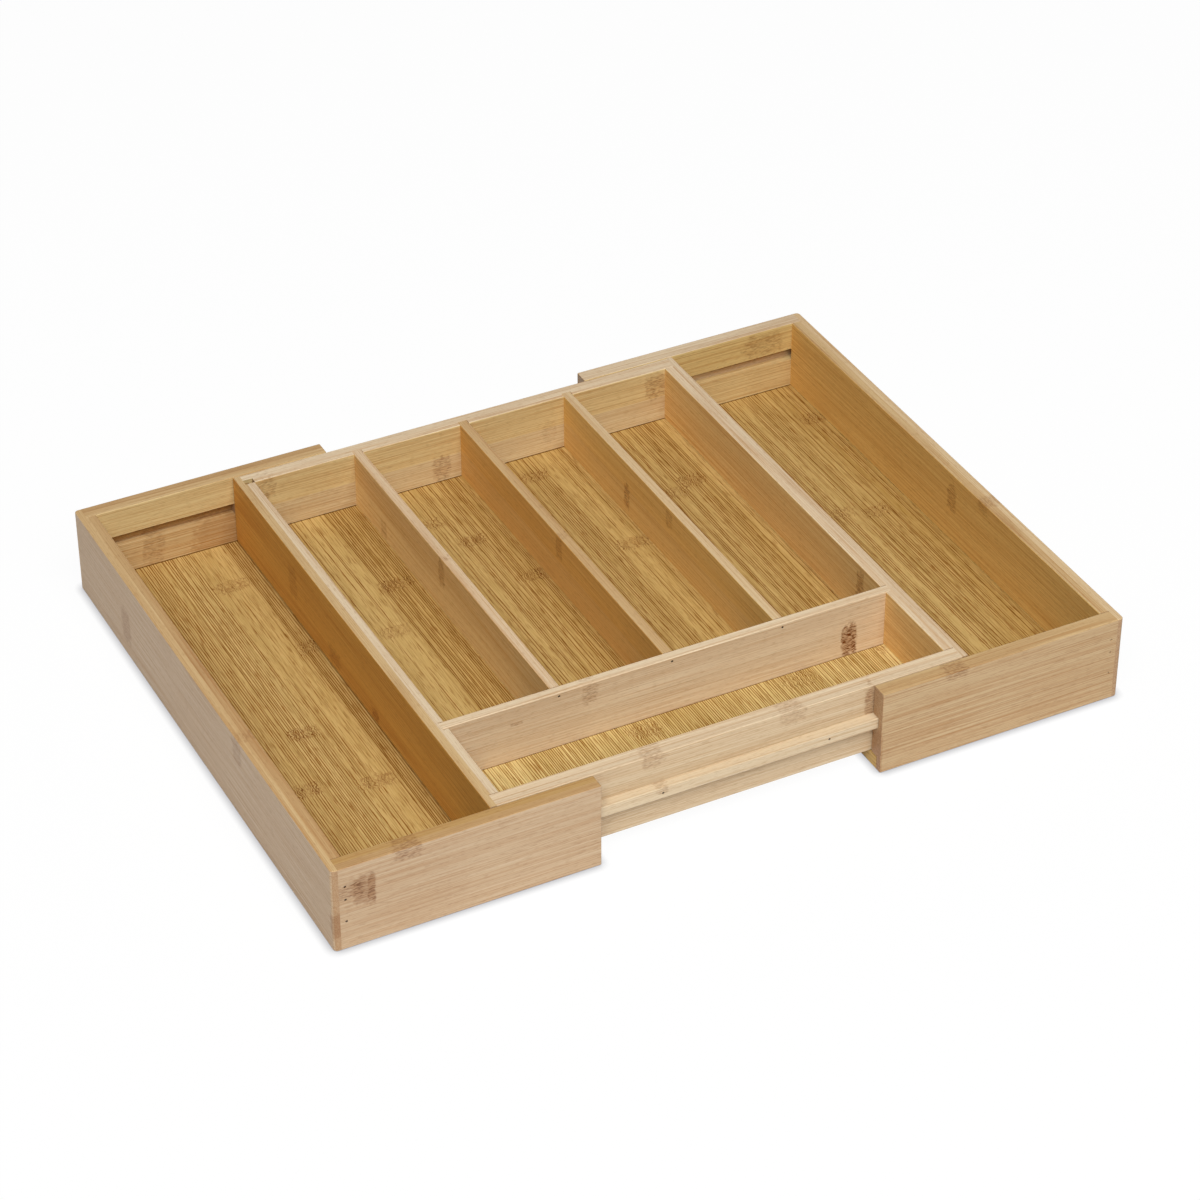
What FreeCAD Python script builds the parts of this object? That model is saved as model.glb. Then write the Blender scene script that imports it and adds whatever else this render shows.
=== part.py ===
import FreeCAD, Part
import os
import re
import Sketcher

# Extending cutlery tray of laminated bamboo boards.
# X runs along the length, Y from front to back and Z up from the table.
# The origin is the middle of the footprint with both extensions drawn out.

doc = FreeCAD.newDocument("cutlery_tray")
sheet = doc.addObject("Spreadsheet::Sheet", "Sizes")

# Driving sizes in millimetres: alias, value, meaning
driving_sizes = [
    ("tray_depth", 370, "outside of the extensions, front to back"),
    ("tray_height", 54, "table to the tops of all boards"),
    ("extension_board", 10, "thickness of the extension walls"),
    ("centre_board", 10, "thickness of the centre tray's walls"),
    ("divider_board", 6, "thickness of every divider"),
    ("floor_panel", 8.5, "thickness of every floor"),
    ("wall_skin", 4, "wood left outside each rebate, groove and corner joint"),
    ("housing_depth", 3.5, "how far a divider's end is let into a wall"),
    ("housing_play", 1, "in front of the cross divider in the left wall's housing"),
    ("joint_play", 4.5, "in front of the back wall's tongue in the left wall's corner joint"),
    ("compartment_width", 64, "clear width of a long compartment"),
    ("cross_compartment", 62.5, "clear depth of the front compartment"),
    ("pull_out", 86, "clear width of an extension's compartment, drawn out"),
    ("meeting_gap", 1, "between the two extensions with both pushed home"),
    ("slide_gap", 0.5, "between the centre tray and an extension's long wall"),
    ("floor_gap", 0.6, "between the centre tray and the floor that slides under it"),
    ("panel_gap", 0.3, "round a floor panel in its rebate"),
    ("rail_height", 7, "height of a slide rail"),
    ("groove_slack", 0.35, "above and below a rail in its groove"),
    ("rail_tip_gap", 0.5, "between a rail and the bottom of its groove"),
    ("edge_round", 0.6, "radius of the sanded long edges"),
    ("corner_round", 2.5, "radius of the tray's upright corners"),
    ("brad_diameter", 1.4, "diameter of every brad"),
    ("brad_slack", 0.05, "between a brad and its hole"),
    ("brad_set", 0.3, "how far a brad is punched below the surface"),
    ("corner_brad", 20, "length of a brad in a corner joint"),
    ("floor_brad", 16, "length of a brad that holds a floor"),
    ("rail_brad", 12, "length of a brad that holds a rail"),
    ("divider_brad", 18, "length of a brad that holds a long divider"),
    ("divider_brad_drop", 2.4, "top edge of the cross divider down to its brads"),
]
for row, (alias, value, meaning) in enumerate(driving_sizes, 1):
    sheet.set(f"A{row}", meaning)
    sheet.set(f"B{row}", str(value))
    sheet.setAlias(f"B{row}", alias)
doc.recompute()

long_compartments = 4
match_tolerance = 0.001

# Places of the brads, as shares of the length or height that they follow
corner_brad_shares = (0.34, 0.61, 0.77)
centre_corner_brad_shares = (0.15, 0.75)
shoulder_share = 0.6
rail_brad_shares = (0.06, 0.34, 0.69, 0.94)
wall_brad_shares = (0.25, 0.5, 0.75)
side_brad_shares = (0.25, 0.75)
middle_share = 0.5

# Derived places, as formulas in the names above
long_dividers = long_compartments - 1
pitch = "(compartment_width + divider_board)"
centre_inside = f"(({long_compartments} * {pitch} - divider_board) / 2)"
centre_edge = f"({centre_inside} + centre_board)"
outer_end = f"({centre_edge} + pull_out + extension_board)"
end_wall_face = f"({outer_end} - extension_board)"
end_rebate = f"({outer_end} - wall_skin)"
extension_length = f"({centre_edge} + extension_board - meeting_gap / 2)"
mouth = f"({outer_end} - {extension_length})"
half_depth = "(tray_depth / 2)"
extension_rebate = f"({half_depth} - wall_skin)"
extension_face = f"({half_depth} - extension_board)"
centre_face = f"({extension_face} - slide_gap)"
centre_rebate = f"({centre_face} - wall_skin)"
centre_wall_face = f"({centre_face} - centre_board)"
side_rebate = f"({centre_edge} - wall_skin)"
cross_front = f"(cross_compartment - {centre_wall_face})"
cross_back = f"({cross_front} + divider_board)"
rebate_height = "(floor_panel + panel_gap)"
centre_bottom = "(floor_panel + floor_gap)"
centre_floor_top = f"({centre_bottom} + floor_panel)"
centre_rebate_top = f"({centre_bottom} + {rebate_height})"
rail_level = f"(({centre_bottom} + tray_height) / 2)"
rail_bottom = f"({rail_level} - rail_height / 2)"
rail_top = f"({rail_level} + rail_height / 2)"
rail_face = f"({extension_rebate} - rail_tip_gap)"
compartment_steps = range(-long_dividers, long_compartments, 2)
compartment_middles = [f"({step} / 2 * {pitch})" for step in compartment_steps]
divider_steps = range(1 - long_dividers, long_dividers, 2)
divider_middles = [f"({step} / 2 * {pitch})" for step in divider_steps]

upright = FreeCAD.Vector(0, 0, 1)
half_turn = FreeCAD.Rotation(upright, 180)
headings = {
    "back": FreeCAD.Rotation(FreeCAD.Vector(1, 0, 0), -90),
    "front": FreeCAD.Rotation(FreeCAD.Vector(1, 0, 0), 90),
    "up": FreeCAD.Rotation(),
}
pieces = []
corners = {}


def bind(thing, path, formula):
    # Every word in a formula is a cell of the sheet
    thing.setExpression(path, re.sub("[a-z_]+", r"Sizes.\g<0>", formula))


def minus(formula):
    return f"(-1 * ({formula}))"


def share_of(low, high, share):
    return f"({low} + {share} * ({high} - {low}))"


def as_drawn(low, high):
    return low, high


def mirrored_x(low, high):
    return (minus(high[0]), low[1], low[2]), (minus(low[0]), high[1], high[2])


def mirrored_y(low, high):
    return (low[0], minus(high[1]), low[2]), (high[0], minus(low[1]), high[2])


def from_corner(body, place):
    # A place in the tray's frame, measured from the body's own corner
    return [f"({there}) - ({here})" for there, here in zip(place, corners[body.Name])]


def start_sketch(body, name, role, offset):
    plane = next(plane for plane in body.Origin.OriginFeatures if plane.Role == role)
    sketch = body.newObject("Sketcher::SketchObject", name)
    sketch.AttachmentSupport = (plane, [""])
    sketch.MapMode = "FlatFace"
    for axis, formula in zip("xyz", offset):
        bind(sketch, f"AttachmentOffset.Base.{axis}", formula)
    return sketch


def dimension(sketch, name, constraint, formula):
    row = sketch.addConstraint(constraint)
    sketch.renameConstraint(row, name)
    bind(sketch, f"Constraints.{name}", formula)


def block(body, kind, name, low, high):
    # A rectangle with one corner at its sketch's origin, taken from low to high
    sketch = start_sketch(body, f"{name}_outline", "XY_Plane", from_corner(body, low))
    turns = [FreeCAD.Vector(across, along, 0) for across, along in ((0, 0), (1, 0), (1, 1), (0, 1))]
    for side in range(4):
        sketch.addGeometry(Part.LineSegment(turns[side], turns[(side + 1) % 4]))
    for side in range(4):
        sketch.addConstraint(Sketcher.Constraint("Coincident", side, 2, (side + 1) % 4, 1))
    sketch.addConstraint(Sketcher.Constraint("Coincident", 0, 1, -1, 1))
    for side in (0, 2):
        sketch.addConstraint(Sketcher.Constraint("Horizontal", side))
        sketch.addConstraint(Sketcher.Constraint("Vertical", side + 1))
    across, along, tall = [f"({top}) - ({bottom})" for bottom, top in zip(low, high)]
    dimension(sketch, "across", Sketcher.Constraint("DistanceX", 0, 1, 0, 2, 1), across)
    dimension(sketch, "along", Sketcher.Constraint("DistanceY", 1, 1, 1, 2, 1), along)
    feature = body.newObject(kind, name)
    feature.Profile = sketch
    bind(feature, "Length", tall)
    return feature


def board(label, low, high, turned=False):
    # The right extension's boards are the left one's, turned half round
    body = doc.addObject("PartDesign::Body", label)
    body.Label = label
    corners[body.Name] = low
    place = low
    if turned:
        body.Placement = FreeCAD.Placement(FreeCAD.Vector(), half_turn)
        place = (minus(low[0]), minus(low[1]), low[2])
    for axis, formula in zip("xyz", place):
        bind(body, f"Placement.Base.{axis}", formula)
    block(body, "PartDesign::Pad", "blank", low, high)
    pieces.append(body)
    return body


def trench(body, name, low, high):
    # A rebate, groove, corner joint or housing, cut upwards from its low face
    cut = block(body, "PartDesign::Pocket", name, low, high)
    cut.Reversed = True


def drill(body, name, heading, places, length):
    # One row of brad holes that all start on the same plane
    start = from_corner(body, places[0])
    if heading == "up":
        sketch = start_sketch(body, f"{name}_centres", "XY_Plane", ("0", "0", start[2]))
        second = 1
    else:
        sketch = start_sketch(body, f"{name}_centres", "XZ_Plane", ("0", "0", minus(start[1])))
        second = 2
    for number, place in enumerate(places):
        sketch.addGeometry(Part.Circle(FreeCAD.Vector(1, 1, 0), upright, 1))
        local = from_corner(body, place)
        over = Sketcher.Constraint("DistanceX", -1, 1, number, 3, 1)
        up = Sketcher.Constraint("DistanceY", -1, 1, number, 3, 1)
        bore = Sketcher.Constraint("Radius", number, 1)
        dimension(sketch, f"over{number}", over, local[0])
        dimension(sketch, f"up{number}", up, local[second])
        dimension(sketch, f"bore{number}", bore, "brad_diameter / 2 + brad_slack")
    holes = body.newObject("PartDesign::Pocket", name)
    holes.Profile = sketch
    holes.Reversed = heading != "back"
    bind(holes, "Length", f"brad_set + {length} + brad_slack")


def brads(label, length, rows, turned=False):
    # A row: its name, the way it is driven, its places on the surface, the boards it goes through
    pins = []
    for name, heading, places, boards in rows:
        for body in boards:
            drill(body, name, heading, places, length)
        for number, (across, along, level) in enumerate(places):
            pin = doc.addObject("Part::Cylinder", f"{label}_{name}_{number}")
            pin.Placement = FreeCAD.Placement(FreeCAD.Vector(), headings[heading])
            if heading == "back":
                along = f"{along} + brad_set"
            elif heading == "front":
                along = f"{along} - brad_set"
            else:
                level = f"{level} + brad_set"
            for axis, formula in zip("xyz", (across, along, level)):
                bind(pin, f"Placement.Base.{axis}", formula)
            bind(pin, "Radius", "brad_diameter / 2")
            bind(pin, "Height", length)
            pins.append(pin)
    group = doc.addObject("Part::Compound", label)
    group.Label = label
    group.Links = pins
    if turned:
        group.Placement = FreeCAD.Placement(FreeCAD.Vector(), half_turn)
    pieces.append(group)


def box_sides(shape):
    box = shape.BoundBox
    return {"x": (box.XMin, box.XMax), "y": (box.YMin, box.YMax), "z": (box.ZMin, box.ZMax)}


def ease(body, axis, radius, chosen=None):
    # Round the edges along one axis that lie on two sides of the blank
    doc.recompute()
    base = body.Tip
    sides = box_sides(base.Shape)
    names = []
    for number, edge in enumerate(base.Shape.Edges, 1):
        span = box_sides(edge)
        offsets = [
            min(abs(span[other][0] - side) + abs(span[other][1] - side) for side in sides[other])
            for other in "xyz"
            if other != axis
        ]
        if max(offsets) < match_tolerance and (chosen is None or chosen(edge.CenterOfMass)):
            names.append(f"Edge{number}")
    fillet = body.newObject("PartDesign::Fillet", f"{radius}_{axis}")
    fillet.Base = (base, names)
    bind(fillet, "Radius", radius)


def above_foot(middle):
    return middle.z > match_tolerance


def at_mouth(middle):
    return middle.x > match_tolerance


def in_front(middle):
    return middle.y < match_tolerance


def behind(middle):
    return middle.y > match_tolerance


# Centre tray, front and back walls: a floor rebate, and housings for the long dividers at the back
centre_long_walls = []
for label, placed in (("centre_front_wall", mirrored_y), ("centre_back_wall", as_drawn)):
    low = (minus(side_rebate), centre_wall_face, centre_bottom)
    wall = board(label, *placed(low, (side_rebate, centre_face, "tray_height")))
    trench(wall, "floor_rebate", *placed(low, (side_rebate, centre_rebate, centre_rebate_top)))
    centre_long_walls.append(wall)
centre_front_wall, centre_back_wall = centre_long_walls
for number, middle in enumerate(divider_middles):
    low = (f"{middle} - divider_board / 2", centre_wall_face, centre_floor_top)
    high = (f"{middle} + divider_board / 2", f"{centre_wall_face} + housing_depth", "tray_height")
    trench(centre_back_wall, f"housing{number}", low, high)

# Centre tray, side walls: corner joints for the front and back walls, a housing for the cross divider
centre_side_walls = []
for label, placed in (("centre_left_wall", mirrored_x), ("centre_right_wall", as_drawn)):
    low = (centre_inside, minus(centre_face), centre_bottom)
    wall = board(label, *placed(low, (centre_edge, centre_face, "tray_height")))
    trench(wall, "floor_rebate", *placed(low, (side_rebate, centre_face, centre_rebate_top)))
    trench(wall, "front_joint", *placed(low, (side_rebate, minus(centre_wall_face), "tray_height")))
    back_low = (centre_inside, centre_wall_face, centre_bottom)
    trench(wall, "back_joint", *placed(back_low, (side_rebate, centre_face, "tray_height")))
    housing_low = (centre_inside, cross_front, centre_floor_top)
    housing_high = (f"{centre_inside} + housing_depth", cross_back, "tray_height")
    trench(wall, "housing", *placed(housing_low, housing_high))
    centre_side_walls.append(wall)
centre_left_wall, centre_right_wall = centre_side_walls

# The back wall's left tongue and the cross divider's left end are loose in the left wall: two slots show
joint_low = (minus(side_rebate), centre_wall_face, centre_bottom)
joint_high = (minus(centre_inside), f"{centre_wall_face} + joint_play", "tray_height")
trench(centre_back_wall, "joint_slot", joint_low, joint_high)
slot_low = (centre_inside, f"{cross_front} - housing_play", centre_floor_top)
slot_high = (f"{centre_inside} + housing_depth", cross_front, "tray_height")
trench(centre_left_wall, "housing_slot", *mirrored_x(slot_low, slot_high))

# Centre tray, floor
centre_floor_end = f"({side_rebate} - panel_gap)"
centre_floor_side = f"({centre_rebate} - panel_gap)"
centre_floor = board(
    "centre_floor",
    (minus(centre_floor_end), minus(centre_floor_side), centre_bottom),
    (centre_floor_end, centre_floor_side, centre_floor_top),
)

# Dividers
cross_divider = board(
    "cross_divider",
    (minus(f"{centre_inside} + housing_depth"), cross_front, centre_floor_top),
    (f"{centre_inside} + housing_depth", cross_back, "tray_height"),
)
long_divider_labels = ("left_long_divider", "middle_long_divider", "right_long_divider")
long_divider_boards = []
for label, middle in zip(long_divider_labels, divider_middles):
    low = (f"{middle} - divider_board / 2", cross_back, centre_floor_top)
    high = (f"{middle} + divider_board / 2", f"{centre_wall_face} + housing_depth", "tray_height")
    long_divider_boards.append(board(label, low, high))

# Slide rails on the outer faces of the front and back walls
rails = []
for label, placed in (("front_slide_rail", mirrored_y), ("back_slide_rail", as_drawn)):
    low = (minus(centre_edge), centre_face, rail_bottom)
    rails.append(board(label, *placed(low, (centre_edge, rail_face, rail_top))))
front_rail, back_rail = rails

# Brads of the centre tray
rail_places = [share_of(minus(centre_edge), centre_edge, share) for share in rail_brad_shares]
for label, heading, face, boards in (
    ("front_rail_brads", "back", minus(rail_face), (front_rail, centre_front_wall)),
    ("back_rail_brads", "front", rail_face, (back_rail, centre_back_wall)),
):
    places = [(across, face, rail_level) for across in rail_places]
    brads(label, "rail_brad", [("rail_row", heading, places, boards)])

divider_rows = []
for number, middle in enumerate(divider_middles):
    places = [(middle, cross_front, "tray_height - divider_brad_drop")]
    boards = (cross_divider, long_divider_boards[number])
    divider_rows.append((f"divider_row{number}", "back", places, boards))
brads("divider_brads", "divider_brad", divider_rows)

corner_rows = []
centre_shoulder = share_of(side_rebate, centre_inside, shoulder_share)
levels = [share_of(centre_rebate_top, "tray_height", share) for share in centre_corner_brad_shares]
for name, heading, across, face, long_wall, side_wall in (
    ("front_left", "back", minus(centre_shoulder), minus(centre_face), centre_front_wall, centre_left_wall),
    ("front_right", "back", centre_shoulder, minus(centre_face), centre_front_wall, centre_right_wall),
    ("back_left", "front", minus(centre_shoulder), centre_face, centre_back_wall, centre_left_wall),
    ("back_right", "front", centre_shoulder, centre_face, centre_back_wall, centre_right_wall),
):
    places = [(across, face, level) for level in levels]
    corner_rows.append((f"{name}_corner_row", heading, places, (long_wall, side_wall)))
brads("centre_corner_brads", "corner_brad", corner_rows)

floor_rows = []
centre_rebate_middle = share_of(centre_wall_face, centre_rebate, middle_share)
for name, along, wall in (
    ("front_floor_row", minus(centre_rebate_middle), centre_front_wall),
    ("back_floor_row", centre_rebate_middle, centre_back_wall),
):
    places = [(middle, along, centre_bottom) for middle in compartment_middles]
    floor_rows.append((name, "up", places, (centre_floor, wall)))
side_rebate_middle = share_of(centre_inside, side_rebate, middle_share)
side_places = [share_of(minus(centre_wall_face), cross_front, middle_share)]
side_places += [share_of(cross_back, centre_wall_face, share) for share in side_brad_shares]
for name, across, wall in (
    ("left_floor_row", minus(side_rebate_middle), centre_left_wall),
    ("right_floor_row", side_rebate_middle, centre_right_wall),
):
    places = [(across, along, centre_bottom) for along in side_places]
    floor_rows.append((name, "up", places, (centre_floor, wall)))
brads("centre_floor_brads", "floor_brad", floor_rows)

for wall in centre_side_walls:
    ease(wall, "y", "edge_round")
for wall in centre_long_walls:
    ease(wall, "x", "edge_round")
for divider in long_divider_boards:
    ease(divider, "y", "edge_round", above_foot)
ease(cross_divider, "x", "edge_round", above_foot)
ease(front_rail, "x", "edge_round", in_front)
ease(back_rail, "x", "edge_round", behind)


def extension(side, first, second, turned):
    # Drawn as the left one: its first long wall is at the front, its second at the back
    end_low = (minus(outer_end), minus(half_depth), "0")
    end_high = (minus(end_wall_face), half_depth, "tray_height")
    end_wall = board(f"{side}_end_wall", end_low, end_high, turned)
    inner_low = (minus(end_rebate), minus(half_depth), "0")
    trench(end_wall, "floor_rebate", inner_low, (minus(end_wall_face), half_depth, rebate_height))
    trench(end_wall, "first_joint", inner_low, (minus(end_wall_face), minus(extension_face), "tray_height"))
    second_low = (minus(end_rebate), extension_face, "0")
    trench(end_wall, "second_joint", second_low, end_high)

    long_walls = []
    for place, placed in ((first, mirrored_y), (second, as_drawn)):
        low = (minus(end_rebate), extension_face, "0")
        high = (minus(mouth), half_depth, "tray_height")
        wall = board(f"{side}_{place}_wall", *placed(low, high), turned)
        trench(wall, "floor_rebate", *placed(low, (minus(mouth), extension_rebate, rebate_height)))
        groove_low = (minus(end_rebate), extension_face, f"{rail_bottom} - groove_slack")
        groove_high = (minus(mouth), extension_rebate, f"{rail_top} + groove_slack")
        trench(wall, "groove", *placed(groove_low, groove_high))
        long_walls.append(wall)

    floor_side = f"({extension_rebate} - panel_gap)"
    floor = board(
        f"{side}_floor",
        (minus(f"{end_rebate} - panel_gap"), minus(floor_side), "0"),
        (minus(mouth), floor_side, "floor_panel"),
        turned,
    )

    shoulder = minus(share_of(end_rebate, end_wall_face, shoulder_share))
    levels = [f"{share} * tray_height" for share in corner_brad_shares]
    rebate_middle = share_of(extension_face, extension_rebate, middle_share)
    across_places = [share_of(minus(end_wall_face), minus(mouth), share) for share in wall_brad_shares]
    corner_rows = []
    floor_rows = []
    for place, heading, face, along, wall in (
        (first, "back", minus(half_depth), minus(rebate_middle), long_walls[0]),
        (second, "front", half_depth, rebate_middle, long_walls[1]),
    ):
        corner_places = [(shoulder, face, level) for level in levels]
        corner_rows.append((f"{place}_corner_row", heading, corner_places, (wall, end_wall)))
        floor_places = [(across, along, "0") for across in across_places]
        floor_rows.append((f"{place}_floor_row", "up", floor_places, (floor, wall)))
    end_middle = minus(share_of(end_wall_face, end_rebate, middle_share))
    along_places = [share_of(minus(half_depth), half_depth, share) for share in wall_brad_shares]
    end_places = [(end_middle, along, "0") for along in along_places]
    floor_rows.append(("end_floor_row", "up", end_places, (floor, end_wall)))
    brads(f"{side}_corner_brads", "corner_brad", corner_rows, turned)
    brads(f"{side}_floor_brads", "floor_brad", floor_rows, turned)

    ease(end_wall, "z", "corner_round")
    ease(end_wall, "y", "edge_round")
    for wall in long_walls:
        ease(wall, "x", "edge_round")
        ease(wall, "z", "edge_round", at_mouth)
    ease(floor, "y", "edge_round", at_mouth)


extension("left", "front", "back", False)
extension("right", "back", "front", True)

doc.recompute()
for thing in doc.Objects:
    if {"Invalid", "Error"} & set(thing.State):
        raise RuntimeError(f"{thing.Label} did not build: {thing.State}")
    if thing.TypeId == "PartDesign::Pocket" and thing.Shape.Volume >= thing.BaseFeature.Shape.Volume:
        raise RuntimeError(f"{thing.Label} cuts nothing")
for piece in pieces:
    if piece.Shape.isNull() or not piece.Shape.isValid():
        raise RuntimeError(f"{piece.Label} has no valid shape")

os.makedirs("parts", exist_ok=True)
for piece in pieces:
    piece.Shape.exportStep(f"parts/{piece.Label}.step")
    print(f"{piece.Label}: {len(piece.Shape.Solids)} solids, {piece.Shape.Volume:.1f} cubic mm")
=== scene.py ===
import math
import bpy
from mathutils import Matrix, Vector

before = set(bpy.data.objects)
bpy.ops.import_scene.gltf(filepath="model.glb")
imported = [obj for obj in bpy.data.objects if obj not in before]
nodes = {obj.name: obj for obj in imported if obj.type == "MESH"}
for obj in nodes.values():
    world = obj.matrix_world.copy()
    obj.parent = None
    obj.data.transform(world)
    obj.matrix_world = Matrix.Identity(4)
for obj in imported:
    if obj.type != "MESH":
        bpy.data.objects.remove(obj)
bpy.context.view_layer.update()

# Extending cutlery tray in bamboo. The frame gives every board and brad its shape and place;
# this file gives them their surfaces and stands the tray in soft light on a white table.

mm = 0.001


def linear(hexColour):  # sRGB hex to the linear colour that a shader takes
    parts = [int(hexColour[at:at + 2], 16) / 255 for at in (1, 3, 5)]
    return [p / 12.92 if p <= 0.04045 else ((p + 0.055) / 1.055) ** 2.4 for p in parts] + [1]


# Lacquered cane, strip by strip: pale where it was steamed little, browner where it was steamed long
cane = {
    # pinkish
    "blond": "#e8d3b2", "ecru": "#dfc9a8", "buff": "#d3bf9f", "tan": "#c6ae8f", "fawn": "#c1a67f",
    "hazel": "#b59673",
    # straw to brown
    "wheat": "#dcc196", "oat": "#d0b180", "biscuit": "#ccaa79", "toast": "#c3a06f", "caramel": "#bd985f",
    # golden
    "honey": "#dcc48e", "maize": "#d9be80", "flax": "#e0c88a", "brass": "#caa96a",
    # clear and strong: for the inner faces that look left, more golden than their cane; painted warm bounce
    # light over the cane's own tone
    "straw": "#f9d898", "primrose": "#f5d08b", "amber": "#f0c676", "copper": "#ebbb69", "russet": "#dfa952",
}


def addNode(tree, kind, inputs, out=0, **settings):
    # a socket among the inputs is linked, any other value is set; out=None gives all outputs
    node = tree.nodes.new("ShaderNode" + kind)
    for key, value in settings.items():
        setattr(node, key, value)
    for key, value in inputs.items():
        if isinstance(value, bpy.types.NodeSocket):
            tree.links.new(value, node.inputs[key])
        else:
            node.inputs[key].default_value = value
    return node.outputs if out is None else node.outputs[out]


# How cane is drawn on every board, whatever its look
caneForm = {
    "facing": 0.7,  # how squarely a surface faces along or across the board to be a sawn end or an edge
    "span": 520 * mm,  # longer than the tray
    "noiseMiddle": 0.5,
    "stripStep": 0.618, "stripShift": 1.7, "plyShift": 0.9,  # no two strips or plies have the same grain
    "ragged": 1.8, "patchEdge": (2.2, 1.4),  # the outline of a knuckle
    "fibreRange": (0.3, 0.7),
    "lineFromStrip": 0.5, "lineFromChance": 0.3, "lineFade": (0.75, 1.1),  # where a dark line comes and goes
    "lineAside": 0.4, "lineMiddle": 0.3,  # how unevenly the lines are spaced
    "dashFade": 0.12, "fleckFade": (0.45, 0.62),
    "lineSinks": 0.6, "fleckSinks": 0.5,  # against how far the fibres stand
    "smoother": 0.06, "rougher": 0.08,
}


def bamboo(name, look, board):
    # one board of glued cane strips: the grain runs along it, the strips lie side by side across it
    form = caneForm
    material = bpy.data.materials.new(name)
    material.use_nodes = True
    tree = material.node_tree
    tree.nodes.clear()

    coords = addNode(tree, "TexCoord", {}, out=None)
    place = coords["Object"]
    axes = dict(zip("xyz", addNode(tree, "SeparateXYZ", {0: place}, out=None)))
    along, across, through = (axes[axis] for axis in board["axes"])
    tilts = dict(zip("xyz", addNode(tree, "SeparateXYZ", {0: coords["Normal"]}, out=None)))
    alongTilt, acrossTilt = (addNode(tree, "Math", {0: tilts[axis]}, operation="ABSOLUTE")
                             for axis in board["axes"][:2])
    sawn = addNode(tree, "Math", {0: alongTilt, 1: form["facing"]}, operation="GREATER_THAN")
    edge = addNode(tree, "Math", {0: acrossTilt, 1: form["facing"]}, operation="GREATER_THAN")
    high = addNode(tree, "Math", {0: across, 1: look["edgeFrom"]}, operation="GREATER_THAN")
    edge = addNode(tree, "Math", {0: edge, 1: high}, operation="MULTIPLY")  # not a groove's ledge
    split = axes[board.get("splitAxis", board["axes"][2])]  # a wall changes tone from ply to ply
    farPart = addNode(tree, "Math", {0: split, 1: board["splitAt"] * mm}, operation="GREATER_THAN")
    if "joints" in board:  # a floor, which is of one tone below
        below = addNode(tree, "Math", {0: tilts["z"], 1: 0}, operation="LESS_THAN")
        farPart = addNode(tree, "Math", {0: farPart, 1: below}, operation="MAXIMUM")

    # strips across the face: where each starts, how deep its tone is, how lined and how pale it is
    span, rampMiddle = form["span"], 0.5
    stripAt = addNode(tree, "Math", {0: across, 1: 1 / span, 2: rampMiddle}, operation="MULTIPLY_ADD")
    strips, pale = addNode(tree, "ValToRGB", {0: stripAt}, out=None)
    stops = strips.node.color_ramp
    stops.interpolation = "CONSTANT"
    for at, (start, depth, lined, *paleness) in enumerate(board["strips"]):
        position = start * mm / span + rampMiddle
        stop = stops.elements[0] if at == 0 else stops.elements.new(position)
        stop.position = position
        stop.color = (depth, lined, (at * form["stripStep"]) % 1, sum(paleness))
    stops.elements.remove(stops.elements[-1])
    depth, lined, shift = addNode(tree, "SeparateColor", {0: strips}, out=None)

    # knuckles of the cane, and patches of painted shade: where they lie on this board, as ragged patches with
    # soft corners
    spot = addNode(tree, "CombineXYZ", {0: along, 1: across, 2: through})
    rippleAt = addNode(tree, "VectorMath", {0: spot, 1: look["ripple"]}, operation="DIVIDE")
    ripple = addNode(tree, "TexNoise", {"Vector": rippleAt, "Scale": 1, "Detail": 1})
    outside, inner = form["patchEdge"]
    stainAndShade = fleckAndShade = 0.0
    for middle, level, halfLength, halfHeight, stainedAndShaded, fleckedAndShaded in board.get("knucklesAndShades", []):
        size = (1 / (halfLength * mm), 1 / (halfHeight * mm), 0)
        offset = (-middle / halfLength, -level / halfHeight, 0)
        patch = addNode(tree, "Mapping", {"Vector": spot, "Location": offset, "Scale": size})
        patch = addNode(tree, "VectorMath", {0: patch, 1: patch}, operation="MULTIPLY")
        reach = addNode(tree, "VectorMath", {0: patch}, out="Value", operation="LENGTH")
        reach = addNode(tree, "Math", {0: ripple, 1: form["ragged"], 2: reach}, operation="MULTIPLY_ADD")
        inside = addNode(tree, "MapRange", {0: reach, 1: outside, 2: inner}, interpolation_type="SMOOTHSTEP")
        stainAndShade = addNode(tree, "Math", {0: inside, 1: stainedAndShaded, 2: stainAndShade}, operation="MULTIPLY_ADD")
        fleckAndShade = addNode(tree, "Math", {0: inside, 1: fleckedAndShaded, 2: fleckAndShade}, operation="MULTIPLY_ADD")

    # the grain swerves at a knuckle
    swerve = addNode(tree, "Math", {0: ripple, 1: form["noiseMiddle"]}, operation="SUBTRACT")
    swerve = addNode(tree, "Math", {0: swerve, 1: fleckAndShade}, operation="MULTIPLY")
    bent = addNode(tree, "Math", {0: swerve, 1: look["swerve"], 2: across}, operation="MULTIPLY_ADD")
    shifted = addNode(tree, "Math", {0: shift, 1: form["stripShift"], 2: along}, operation="MULTIPLY_ADD")
    shifted = addNode(tree, "Math", {0: farPart, 1: form["plyShift"], 2: shifted}, operation="MULTIPLY_ADD")
    grain = addNode(tree, "CombineXYZ", {0: shifted, 1: bent, 2: through})

    def streaks(length, width, detail):
        size = (1 / length, 1 / width, 1 / width)
        scaled = addNode(tree, "VectorMath", {0: grain, 1: size, 2: (board["seed"], 0, 0)},
                         operation="MULTIPLY_ADD")
        return addNode(tree, "TexNoise", {"Vector": scaled, "Scale": 1, "Detail": detail})

    weakest, strongest = form["fibreRange"]
    bands = streaks(*look["bands"], 1)
    fibres = addNode(tree, "MapRange", {0: streaks(*look["fibres"], 2), 1: weakest, 2: strongest})
    dashes = streaks(*look["dashes"], 1)
    flecks = streaks(*look["flecks"], 1)
    wander = streaks(*look["wander"], 0)

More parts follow.
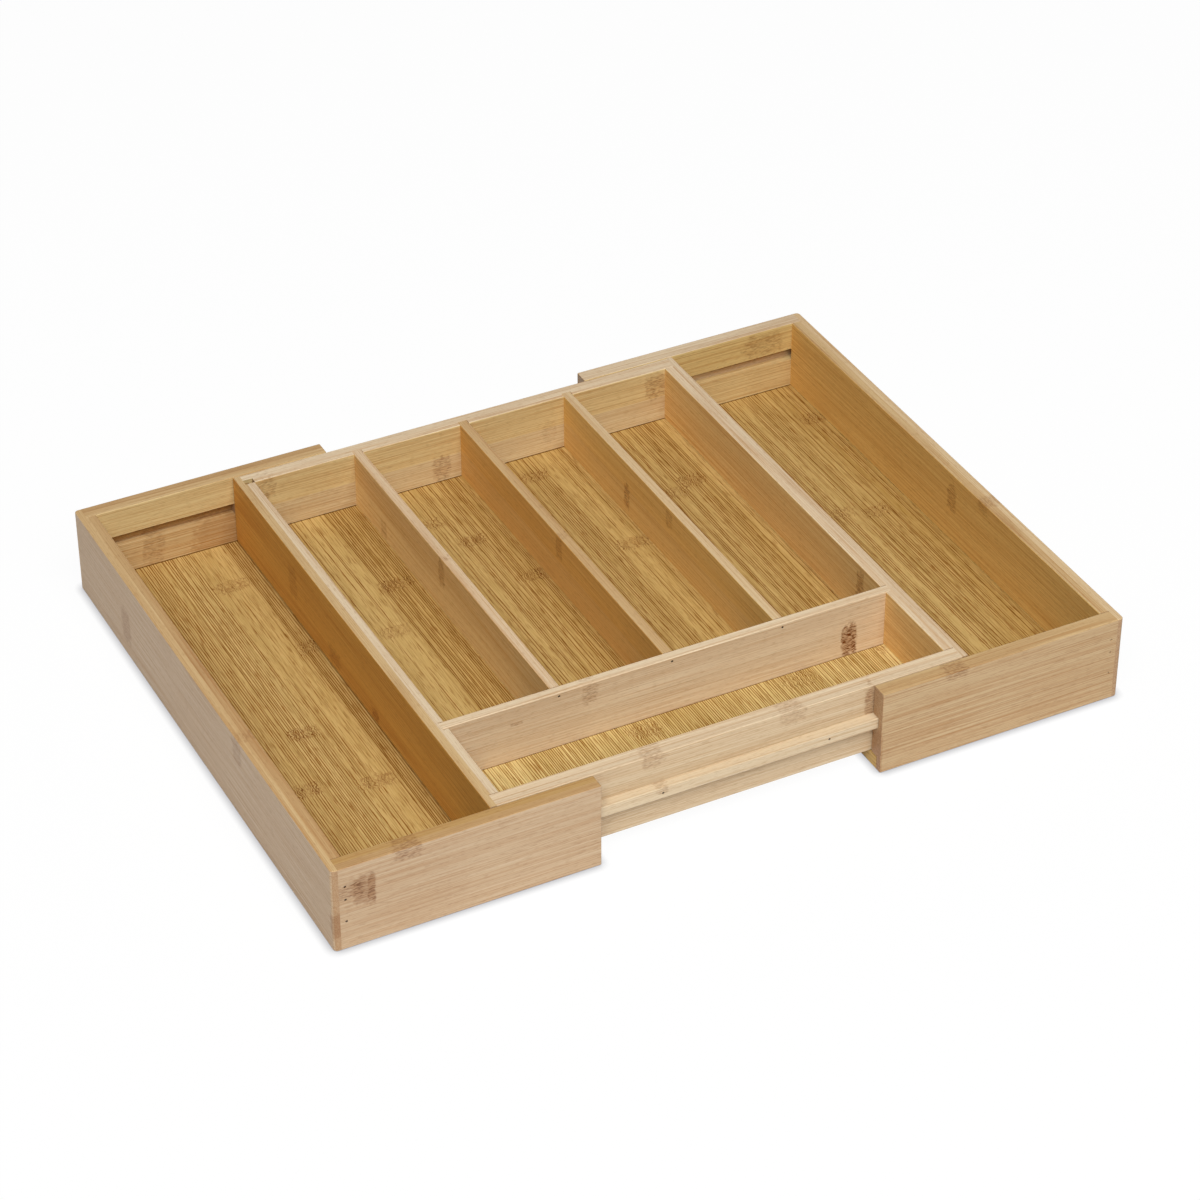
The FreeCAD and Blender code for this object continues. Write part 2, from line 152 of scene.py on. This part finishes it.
    # lines of dark fibre side by side: each has its own strength, and comes and goes along the grain
    lineAt = addNode(tree, "Math", {0: bent, 1: 1 / look["lineEvery"], 2: wander}, operation="MULTIPLY_ADD")
    lineNumber = addNode(tree, "Math", {0: lineAt}, operation="FLOOR")
    lineCell = addNode(tree, "CombineXYZ", {0: lineNumber, 1: farPart, 2: board["seed"]})
    chances = addNode(tree, "TexWhiteNoise", {"Vector": lineCell}, out="Color", noise_dimensions="3D")
    strong, aside, _ = addNode(tree, "SeparateColor", {0: chances}, out=None)
    lineRun = addNode(tree, "Math", {0: shifted, 1: 1 / look["lineRun"]}, operation="MULTIPLY")
    lineSpot = addNode(tree, "CombineXYZ", {0: lineRun, 1: lineNumber, 2: board["seed"]})
    comes = addNode(tree, "TexNoise", {"Vector": lineSpot, "Scale": 1, "Detail": 1})
    comes = addNode(tree, "Math", {0: lined, 1: form["lineFromStrip"], 2: comes}, operation="MULTIPLY_ADD")
    comes = addNode(tree, "Math", {0: strong, 1: form["lineFromChance"], 2: comes}, operation="MULTIPLY_ADD")
    denser = board.get("nearLined", 0)  # how much denser the lines are on the near part
    comes = addNode(tree, "Math", {0: farPart, 1: -denser, 2: comes}, operation="MULTIPLY_ADD")
    faint, full = form["lineFade"]
    shown = addNode(tree, "MapRange", {0: comes, 1: faint - denser, 2: full - denser},
                    interpolation_type="SMOOTHSTEP")
    offLine = addNode(tree, "Math", {0: lineAt, 1: lineNumber}, operation="SUBTRACT")
    offLine = addNode(tree, "Math", {0: aside, 1: -form["lineAside"], 2: offLine}, operation="MULTIPLY_ADD")
    offLine = addNode(tree, "Math", {0: offLine, 1: form["lineMiddle"]}, operation="SUBTRACT")
    offLine = addNode(tree, "Math", {0: offLine}, operation="ABSOLUTE")
    ridge = addNode(tree, "MapRange", {0: offLine, 1: look["lineWidth"] / look["lineEvery"], 2: 0},
                    interpolation_type="SMOOTHSTEP")
    line = addNode(tree, "Math", {0: ridge, 1: shown}, operation="MULTIPLY")
    dash = addNode(tree, "MapRange", {0: dashes, 1: look["dashFrom"], 2: look["dashFrom"] + form["dashFade"]},
                   interpolation_type="SMOOTHSTEP")
    line = addNode(tree, "Math", {0: dash, 1: look["dashDepth"], 2: line}, operation="MULTIPLY_ADD")
    line = addNode(tree, "Math", {0: line, 1: look["lineDepth"]}, operation="MULTIPLY", use_clamp=True)

    # colour: the board's own tones on its two plies, their top edges and the sawn ends
    near, far, paleStrip, sawnEnd = (linear(cane[tone]) for tone in (
        board["near"], board["far"], look["paleStrip"], look["sawn"]))
    nearTop, farTop = (linear(cane[tone]) for tone in board["top"])
    face = addNode(tree, "Mix", {0: farPart, 6: near, 7: far}, out=2, data_type="RGBA")
    face = addNode(tree, "Mix", {0: pale, 6: face, 7: paleStrip}, out=2, data_type="RGBA")
    topEdge = addNode(tree, "Mix", {0: farPart, 6: nearTop, 7: farTop}, out=2, data_type="RGBA")
    wood = addNode(tree, "Mix", {0: edge, 6: face, 7: topEdge}, out=2, data_type="RGBA")
    wood = addNode(tree, "Mix", {0: sawn, 6: wood, 7: sawnEnd}, out=2, data_type="RGBA")
    tone = addNode(tree, "Math", {0: bands, 1: look["bandSpread"], 2: depth}, operation="MULTIPLY_ADD")
    tone = addNode(tree, "Math", {0: fibres, 1: look["fibreSpread"], 2: tone}, operation="MULTIPLY_ADD")
    usual = form["noiseMiddle"] * (look["bandSpread"] + look["fibreSpread"])
    tone = addNode(tree, "Math", {0: tone, 1: usual}, operation="SUBTRACT")
    stripe = addNode(tree, "Math", {0: bands, 1: form["noiseMiddle"]}, operation="SUBTRACT")
    stripe = addNode(tree, "Math", {0: stripe, 1: edge}, operation="MULTIPLY")  # plies show on the top edges
    tone = addNode(tree, "Math", {0: stripe, 1: look["edgeSpread"], 2: tone}, operation="MULTIPLY_ADD")
    tone = addNode(tree, "Math", {0: tone, 1: look["depth"]}, operation="ADD")
    wood = addNode(tree, "Mix", {0: tone, 6: wood, 7: linear(look["deepens"])}, out=2,
                   data_type="RGBA", blend_type="MULTIPLY")
    wood = addNode(tree, "Mix", {0: line, 6: wood, 7: linear(look["line"])}, out=2,
                   data_type="RGBA", blend_type="MULTIPLY")

    # the fine dark line where a floor runs under a wall, on its upper side only
    for joint in board.get("joints", []):
        gap = addNode(tree, "Math", {0: along, 1: joint * mm, 2: look["gap"]}, operation="COMPARE")
        gap = addNode(tree, "Math", {0: gap, 1: below}, operation="SUBTRACT", use_clamp=True)
        wood = addNode(tree, "Mix", {0: gap, 6: wood, 7: linear(look["gapStain"])}, out=2,
                       data_type="RGBA", blend_type="MULTIPLY")

    # a knuckle is stained, and brown flecks crowd together in it; on a patch of painted shade the same stain
    # and flecks paint the shade
    wood = addNode(tree, "Mix", {0: stainAndShade, 6: wood, 7: linear(look["stainAndShade"])}, out=2,
                   data_type="RGBA", blend_type="MULTIPLY")
    fleckStarts, fleckFull = form["fleckFade"]
    speck = addNode(tree, "MapRange", {0: flecks, 1: fleckStarts, 2: fleckFull},
                    interpolation_type="SMOOTHSTEP")
    speck = addNode(tree, "Math", {0: speck, 1: fleckAndShade}, operation="MULTIPLY", use_clamp=True)
    wood = addNode(tree, "Mix", {0: speck, 6: wood, 7: linear(look["knuckle"])}, out=2,
                   data_type="RGBA", blend_type="MULTIPLY")

    # sanded surface: fibres stand a little, lines and flecks lie a little low
    relief = addNode(tree, "Math", {0: line, 1: -form["lineSinks"], 2: fibres}, operation="MULTIPLY_ADD")
    relief = addNode(tree, "Math", {0: speck, 1: -form["fleckSinks"], 2: relief}, operation="MULTIPLY_ADD")
    normal = addNode(tree, "Bump", {"Height": relief, "Strength": look["bump"],
                                    "Distance": look["relief"]})
    rough = addNode(tree, "MapRange", {0: fibres, 3: look["roughness"] - form["smoother"],
                                       4: look["roughness"] + form["rougher"]})
    shader = addNode(tree, "BsdfPrincipled", {"Base Color": wood, "Roughness": rough,
                                              "IOR": look["ior"], "Normal": normal,
                                              "Specular IOR Level": look["gloss"]})
    addNode(tree, "OutputMaterial", {"Surface": shader}, out=None)
    return material


def dress(name, material):
    nodes[name].data.materials.clear()
    nodes[name].data.materials.append(material)


def onePly(tone, top):  # a board of the same tone through, with its split beyond every board
    return {"splitAt": 300, "near": tone, "far": tone, "top": (top, top)}


# Floors: one layer of flat pressed cane strips, sanded, under clear lacquer. Golden, with dark lines
# of fibre close together on some strips and short dashes on the smooth ones. The real lines are about
# 1 mm apart and the fibres finer than 0.3 mm, too fine to show, so both are drawn coarser.
floorLook = {
    "deepens": "#ccbf9e", "line": "#a87c38", "stainAndShade": "#b8884e", "knuckle": "#a0602c", "gapStain": "#a8906c",
    "bands": (260 * mm, 5 * mm), "fibres": (18 * mm, 0.6 * mm), "dashes": (12 * mm, 0.7 * mm),
    "flecks": (2.6 * mm, 0.7 * mm), "wander": (160 * mm, 14 * mm),
    "ripple": (2.5 * mm, 4 * mm, 4 * mm), "swerve": 9 * mm,
    "lineEvery": 1.35 * mm, "lineWidth": 0.5 * mm, "lineRun": 90 * mm, "lineDepth": 1,
    "dashFrom": 0.55, "dashDepth": 0.5, "depth": 0.15, "bandSpread": 0.7, "fibreSpread": 0.6,
    "edgeSpread": 0, "edgeFrom": 0, "gap": 0.5 * mm, "sawn": "toast", "paleStrip": "flax",
    "roughness": 0.46, "ior": 1.5, "gloss": 0.12, "bump": 0.25, "relief": 0.1 * mm,
}
# strips from left to right: start (mm), depth of tone, how lined; a fourth number says how pale
# knuckles and patches of painted shade: place along the grain and across it, half length, half width (mm),
# stain and painted shade, flecks; a wide one without flecks is a cloud of deeper tone, and a painted shade is
# named at its board
floorBoards = {
    "centre_floor": {
        "splitAxis": "y", "splitAt": -99, "near": "flax", "far": "brass", "top": ("brass", "brass"),
        "nearLined": 0.15, "joints": [164.5, -96, -102],
        "strips": [(-150, 0.2, 0.6), (-117, 0.05, 0.25), (-96, 0.3, 0.9), (-74, 0.3, 0.8), (-54, 0.2, 0.4),
                   (-34, 0.25, 0.6), (-18.5, 0.35, 0.8), (2, 0.35, 0.8), (23, 0.25, 0.7), (45, 0.2, 0.5),
                   (66, 0.35, 0.8), (88, 0.2, 0.6), (112, 0.3, 0.85), (128, 0.05, 0.3)],
        "knucklesAndShades": [(79, -86, 6, 10, 0.08, 0.45), (36, -106, 6, 10, 0.06, 0.35), (99, -27, 6, 9, 0.07, 0.4),
                     (50, -9, 6, 9, 0.08, 0.45), (125, -42, 6, 8, 0.06, 0.35), (143, 36, 6, 10, 0.07, 0.4),
                     (53, 56, 6, 11, 0.08, 0.45), (96, 119, 6, 9, 0.07, 0.4), (88, 105, 6, 7, 0.05, 0.3),
                     (-110, 78, 7, 11, 0.05, 0.3), (-112, -22, 7, 10, 0.06, 0.35),
                     (-106, 133, 5, 4, 0.06, 0.35)],
    },
    "left_floor": {
        **onePly("brass", "brass"), "joints": [175],
        "strips": [(-250, 0.1, 0.5), (-217, 0.05, 0.8), (-196, 0.05, 0.9, 0.15), (-179, 0.05, 0.4),
                   (-157, 0.2, 0.9), (-138, 0.1, 0.3), (-117, 0.2, 0.7)],
        "knucklesAndShades": [(133, -168, 6, 11, 0.08, 0.45), (-16, -187, 6, 9, 0.08, 0.45),
                     (-64, -206, 6, 10, 0.07, 0.4), (-74, -167, 6, 11, 0.08, 0.45),
                     (57, -152, 7, 6, 0.07, 0.4), (-140, -187, 6, 9, 0.06, 0.35)],
    },
    "right_floor": {
        **onePly("brass", "brass"), "joints": [175],
        "strips": [(60, 0.1, 0.4), (105, 0.2, 0.7), (126, 0.1, 0.3), (147, 0.25, 0.6), (166, 0.25, 0.8),
                   (183, 0.05, 0.5), (200, 0.3, 0.6), (218, 0.4, 0.5)],
        "knucklesAndShades": [(134, 227, 6, 9, 0.07, 0.4), (27, 210, 6, 9, 0.07, 0.4), (34, 190, 6, 8, 0.06, 0.35),
                     (-130, 208, 6, 9, 0.06, 0.35)],
    },
}
for seed, (name, board) in enumerate(floorBoards.items()):
    board = dict(board, axes="yxz", seed=seed + 0.5)  # each board has its own seed, so its own grain
    dress(name, bamboo("flat pressed bamboo, sanded, lacquered, " + name, floorLook, board))
print("floors dressed")

# Walls: two plies of pressed cane, planed, sanded and thinly lacquered. Fine short fibres and soft
# bands, the two plies in two tones on the top edge, few knuckles, darker where the ends are sawn.
wallLook = dict(
    floorLook, deepens="#d6b48e", line="#b8966a", stainAndShade="#b88a50", knuckle="#905c22",
    bands=(340 * mm, 2.2 * mm), fibres=(70 * mm, 0.6 * mm), dashes=(5 * mm, 0.65 * mm),
    flecks=(3 * mm, 0.6 * mm), ripple=(3 * mm, 3 * mm, 3 * mm), swerve=2 * mm,
    lineEvery=1.8 * mm, lineRun=60 * mm, lineDepth=0.25, dashFrom=0.56, dashDepth=0.9,
    depth=0.22, bandSpread=0.5, fibreSpread=0.6, edgeSpread=0.7, edgeFrom=40 * mm,
    sawn="hazel", paleStrip="buff", roughness=0.5, gloss=0.3, bump=0.2,
)
# axes: along the grain, across it, through the plies; strips start from below
# near is the face to the front or left, far the other; top gives the tones of the two plies' edges
# fibreSpread is given where the fibres stand out more than wallLook has them
wallBoards = {
    "centre_front_wall": {
        "axes": "xzy", "splitAt": -169.5, "near": "buff", "far": "oat", "top": ("ecru", "blond"),
        "strips": [(-1, 0, 0.3), (25, 0.05, 0.3)],
        # the last patch, at the right end, is partly a dark stain and partly painted shadow
        "knucklesAndShades": [(-50, 52, 7, 6, 0.1, 0.3), (36, 51, 8, 6, 0.1, 0.25), (85, 41, 4, 12, 0.35, 0.5)],
    },
    "centre_back_wall": {
        "axes": "xzy", "splitAt": 169.5, "near": "honey", "far": "oat", "top": ("blond", "blond"),
        "fibreSpread": 0.9, "strips": [(-1, 0, 0.2, 0.5), (33, 0, 0.6)],
        # the first patch is no knuckle: its stain and flecks paint shade into the slot of the left tongue
        "knucklesAndShades": [(-142, 44, 2.8, 8, 1, 3), (-130, 47, 6, 7, 0.1, 0.4), (-102, 24, 30, 10, 0.14, 0),
                     (-100, 45, 25, 9, 0.07, 0), (-16, 27, 6, 9, 0.15, 0.45), (57, 31, 5, 8, 0.05, 0.2),
                     (130, 43, 7, 9, 0.2, 0.45)],
    },
    # the near face looks left into the left compartment: its russet is painted warm bounce light over the
    # cane's tone
    "centre_left_wall": {
        "axes": "yzx", "splitAt": -142, "near": "russet", "far": "oat", "top": ("oat", "ecru"),
        "fibreSpread": 0.85, "strips": [(-1, 0.1, 0.6), (20, 0, 0.3), (34, 0.1, 0.5), (46, 0, 0.3)],
        "knucklesAndShades": [(88, 33, 6, 11, 0.15, 0.25), (-26, 14, 5, 4, 0.3, 0.5), (30, 18, 8, 6, 0.15, 0.35)],
    },
    # the near face looks left into the centre: its primrose is painted warm bounce light over the cane's tone
    "centre_right_wall": {
        "axes": "yzx", "splitAt": 142, "near": "primrose", "far": "oat", "top": ("blond", "ecru"),
        "fibreSpread": 0.85, "strips": [(-1, 0.12, 0.3), (36, 0.05, 0.3)],
        "knucklesAndShades": [(-74, 40, 4, 11, 0.3, 0.5)],
    },
    "left_front_wall": {
        "axes": "xzy", "splitAt": -180, "near": "tan", "far": "oat", "top": ("toast", "caramel"),
        "knucklesAndShades": [(-220.5, 35, 2.4, 11, 0.2, 0.3), (-225, 36, 7, 10, 0.3, 0.28),
                     (-233, 38, 10, 5, 0.15, 0.4), (-205, 28, 40, 28, 0.07, 0), (-199, 52, 8, 5, 0.15, 0.4)],
    },
    "left_back_wall": {
        "axes": "xzy", "splitAt": 180, "near": "honey", "far": "caramel", "top": ("oat", "toast"),
        "fibreSpread": 0.85, "strips": [(-1, 0.34, 0.3, 0.3), (28, 0, 0.3)],
        # the wide patch by the centre tray's left wall is painted shade in the corner, over a knuckle's
        # deeper tone
        "knucklesAndShades": [(-199, 19, 7, 10, 0.1, 0.3), (-155, 15, 20, 14, 0.3, 0)],
    },
    "left_end_wall": {
        "axes": "yzx", "splitAt": -238, "near": "tan", "far": "oat", "top": ("oat", "toast"),
        "knucklesAndShades": [(108, 21, 7, 12, 0.25, 0.2), (-59, 46, 6, 9, 0.2, 0.2), (-184.5, 17, 3, 8, 0.4, 0)],
    },
    "right_front_wall": {
        "axes": "xzy", "splitAt": -180, "near": "fawn", "far": "oat", "top": ("oat", "oat"),
        "fibreSpread": 0.85, "strips": [(-1, 0.1, 0.4), (40, 0, 0.7)],
        # the narrow patch at the mouth end, low down, is partly a dark stain and partly painted shadow
        "knucklesAndShades": [(134, 53, 7, 4, 0.15, 0.4), (86.5, 8, 1.2, 18, 0.3, 0)],
    },
    "right_back_wall": {
        "axes": "xzy", "splitAt": 180, "near": "maize", "far": "wheat", "top": ("ecru", "ecru"),
        "fibreSpread": 0.9, "strips": [(-1, 0, 0.3, 0.25), (31, 0, 0.6)],
        "knucklesAndShades": [(212, 44, 14, 8, 0.12, 0.35), (178, 33, 7, 2, 0.4, 0.4), (218, 15, 16, 14, 0.1, 0)],
    },
    # the near face looks left into the right compartment: its amber is painted warm bounce light over the
    # cane's tone
    "right_end_wall": {
        "axes": "yzx", "splitAt": 238, "near": "amber", "far": "oat", "top": ("oat", "wheat"),
        "fibreSpread": 0.85,
        "knucklesAndShades": [(-18, 38, 5, 10, 0.2, 0.4), (-51, 52, 6, 5, 0.15, 0.3)],
    },
}
for seed, (name, board) in enumerate(wallBoards.items()):
    board = dict({"strips": [(-1, 0.05, 0.3)]}, seed=seed + 10.5, **board)
    look = dict(wallLook, fibreSpread=board.get("fibreSpread", wallLook["fibreSpread"]))
    dress(name, bamboo("two ply pressed bamboo, sanded, lacquered, " + name, look, board))
print("walls dressed")

# Dividers: the same cane in a single thin ply
# a divider's faces take a clear and strong tone and its top a pale one: on the faces, painted warm bounce
# light over the cane's tone
dividerBoards = {
    "cross_divider": {
        "axes": "xzy", **onePly("blond", "blond"), "strips": [(-1, 0, 0.3, 0.22), (36, 0.02, 0.3)],
        "knucklesAndShades": [(114, 28, 5, 11, 0.5, 1.3), (-51, 47, 5, 7, 0.1, 0.4), (-96, 42, 4, 1.2, 0.2, 0.4),
                     (-95, 30, 45, 32, 0.07, 0)],
    },
    "left_long_divider": {
        "axes": "yzx", **onePly("straw", "blond"), "strips": [(-1, 0, 0.3), (36, 0.25, 0.3)],
        "knucklesAndShades": [(43, 44, 4, 10, 0.25, 0.4), (124, 23, 4, 8, 0.12, 0.25)],
    },
    "middle_long_divider": {
        "axes": "yzx", **onePly("copper", "biscuit"), "strips": [(-1, 0, 0.3, 0.12), (36, 0.08, 0.3)],
        "knucklesAndShades": [(32, 46, 4, 8, 0.2, 0.35)],
    },
    "right_long_divider": {
        "axes": "yzx", **onePly("amber", "wheat"), "strips": [(-1, 0, 0.3, 0.12), (36, 0, 0.3)],
        "knucklesAndShades": [(81, 31, 3.5, 9, 0.3, 0.5), (28, 46, 4, 6, 0.15, 0.35)],
    },
}
for seed, (name, board) in enumerate(dividerBoards.items()):
    board = dict(board, seed=seed + 30.5)
    dress(name, bamboo("single ply pressed bamboo, sanded, lacquered, " + name, wallLook, board))
print("dividers dressed")

# Slide rails: one split strip of cane, planed and left bare so that it runs in its groove; the palest
railLook = dict(wallLook, depth=0.1, edgeFrom=0)
railBoards = {
    "front_slide_rail": {"strips": [(-1, 0, 0.2)], "knucklesAndShades": [(-47, 34, 4, 3, 0.1, 0.3)]},
    "back_slide_rail": {"strips": [(-1, 0, 0.2)]},
}
for seed, (name, board) in enumerate(railBoards.items()):
    board = dict(board, axes="xzy", seed=seed + 40.5, **onePly("buff", "buff"))
    dress(name, bamboo("split bamboo strip, planed, " + name, railLook, board))
print("rails dressed")

# Brads: bright drawn steel wire, dulled in the air, so the heads are small dark glints
bradLook = {
    "steel": "#6a5f54", "dull": "#3c332b", "spot": 0.5 * mm,
    "roughness": 0.42, "smoother": 0.1, "rougher": 0.15,
}


def drawnSteel(name, look):
    material = bpy.data.materials.new(name)
    material.use_nodes = True
    tree = material.node_tree
    tree.nodes.clear()
    place = addNode(tree, "TexCoord", {}, out="Object")
    dulling = addNode(tree, "TexNoise", {"Vector": place, "Scale": 1 / look["spot"], "Detail": 3})
    steel = addNode(tree, "Mix", {0: dulling, 6: linear(look["steel"]), 7: linear(look["dull"])},
                    out=2, data_type="RGBA")
    rough = addNode(tree, "MapRange", {0: dulling, 3: look["roughness"] - look["smoother"],
                                       4: look["roughness"] + look["rougher"]})
    shader = addNode(tree, "BsdfPrincipled", {"Base Color": steel, "Metallic": 1, "Roughness": rough})
    addNode(tree, "OutputMaterial", {"Surface": shader}, out=None)
    return material


# the right corners' brads are still bright and hardly stand out from the wood
brightLook = dict(bradLook, steel="#c0aa8a", dull="#94805f")
dullBrad = drawnSteel("drawn steel wire, dulled", bradLook)
brightBrad = drawnSteel("drawn steel wire, bright", brightLook)
for name in nodes:
    if name.endswith("_brads"):
        dress(name, brightBrad if name == "right_corner_brads" else dullBrad)
print("brads dressed")

# Table: a matte white sheet. The eye sees it as white paper with a faint real shadow and a painted contact
# shadow;
# the light that it throws back on the tray is that of a plain white surface.
table = {
    "side": 8.0, "drop": 0.1 * mm,  # a little low, so that the tray's underside does not lie in its plane
    "white": "#ffffff", "washShare": 0.95, "shade": "#74747e", "shadeReach": 5.5 * mm,
}


def seenDirectly(tree):  # 1 for what the camera, a gloss or a clear piece sees, 0 for bounced light
    path = addNode(tree, "LightPath", {}, out=None)
    seen = addNode(tree, "Math", {0: path["Is Camera Ray"], 1: path["Is Glossy Ray"]}, operation="MAXIMUM")
    return addNode(tree, "Math", {0: seen, 1: path["Is Transmission Ray"]}, operation="MAXIMUM")


half = table["side"] / 2
sheetMesh = bpy.data.meshes.new("table")
sheetCorners = [(-half, -half, 0), (half, -half, 0), (half, half, 0), (-half, half, 0)]
sheetMesh.from_pydata(sheetCorners, [], [(0, 1, 2, 3)])
sheet = bpy.data.objects.new("table", sheetMesh)
sheet.location.z = -table["drop"]
bpy.context.scene.collection.objects.link(sheet)
paper = bpy.data.materials.new("matte white paper")
paper.use_nodes = True
tree = paper.node_tree
tree.nodes.clear()
matte = addNode(tree, "BsdfDiffuse", {"Color": linear(table["white"])})
openness = addNode(tree, "AmbientOcclusion", {"Distance": table["shadeReach"]}, out="AO")
shade = addNode(tree, "Mix", {0: openness, 6: linear(table["shade"]), 7: linear(table["white"])}, out=2,
                data_type="RGBA")  # painted contact shadow: the thin grey line at the tray's foot, darker where the tray closes it in
wash = addNode(tree, "Emission", {"Color": shade, "Strength": 1})
share = addNode(tree, "Math", {0: seenDirectly(tree), 1: table["washShare"]}, operation="MULTIPLY")
sheetShader = addNode(tree, "MixShader", {0: share, 1: matte, 2: wash})
addNode(tree, "OutputMaterial", {"Surface": sheetShader}, out=None)
sheet.data.materials.append(paper)

# Room: white where it is seen, dim where it only lights the tray
room = {"white": "#ffffff", "ambient": 0.05}
world = bpy.data.worlds.new("white room")
bpy.context.scene.world = world
world.use_nodes = True
tree = world.node_tree
tree.nodes.clear()
dim = addNode(tree, "Background", {"Color": linear(room["white"]), "Strength": room["ambient"]})
white = addNode(tree, "Background", {"Color": linear(room["white"]), "Strength": 1})
roomShader = addNode(tree, "MixShader", {0: seenDirectly(tree), 1: dim, 2: white})
addNode(tree, "OutputWorld", {"Surface": roomShader}, out=None)

# Lamp: one wide softbox, high in front of the tray
softbox = {"from": (-0.18, -0.55, 0.82), "distance": 4.0, "size": (3.4, 2.4), "watts": 192}
light = bpy.data.lights.new("key softbox", "AREA")
light.shape = "RECTANGLE"
light.size, light.size_y = softbox["size"]
light.energy = softbox["watts"]
stand = bpy.data.objects.new("key softbox", light)
bpy.context.scene.collection.objects.link(stand)
aim = Vector(softbox["from"]).normalized()
stand.location = aim * softbox["distance"]
stand.rotation_mode = "QUATERNION"
stand.rotation_quaternion = aim.to_track_quat("Z", "Y")
print("table, room and lamp placed")

# Camera: as the photograph was taken, from the front left and above with a long lens
view = {
    "azimuth": -27.13, "elevation": 35.70, "roll": -0.06,  # degrees
    "distance": 2.1948, "right": 0.00655, "up": 0.02298,  # metres
    "sensor": 36.0, "lens": 113.41,  # mm
}
azimuth, elevation, roll = (math.radians(view[key]) for key in ("azimuth", "elevation", "roll"))
back = Vector((math.sin(azimuth) * math.cos(elevation), -math.cos(azimuth) * math.cos(elevation),
               math.sin(elevation)))
levelRight = Vector((0, 0, 1)).cross(back).normalized()
levelUp = back.cross(levelRight)
right = math.cos(roll) * levelRight + math.sin(roll) * levelUp
up = math.cos(roll) * levelUp - math.sin(roll) * levelRight
camera = bpy.data.objects.new("camera", bpy.data.cameras.new("camera"))
camera.data.sensor_width = view["sensor"]
camera.data.lens = view["lens"]
turned = Matrix((right, up, back)).transposed().to_4x4()
eye = view["right"] * right + view["up"] * up + view["distance"] * back
camera.matrix_world = Matrix.Translation(eye) @ turned
bpy.context.scene.collection.objects.link(camera)
bpy.context.scene.camera = camera
bpy.context.scene.view_settings.view_transform = "Standard"
print("camera set")
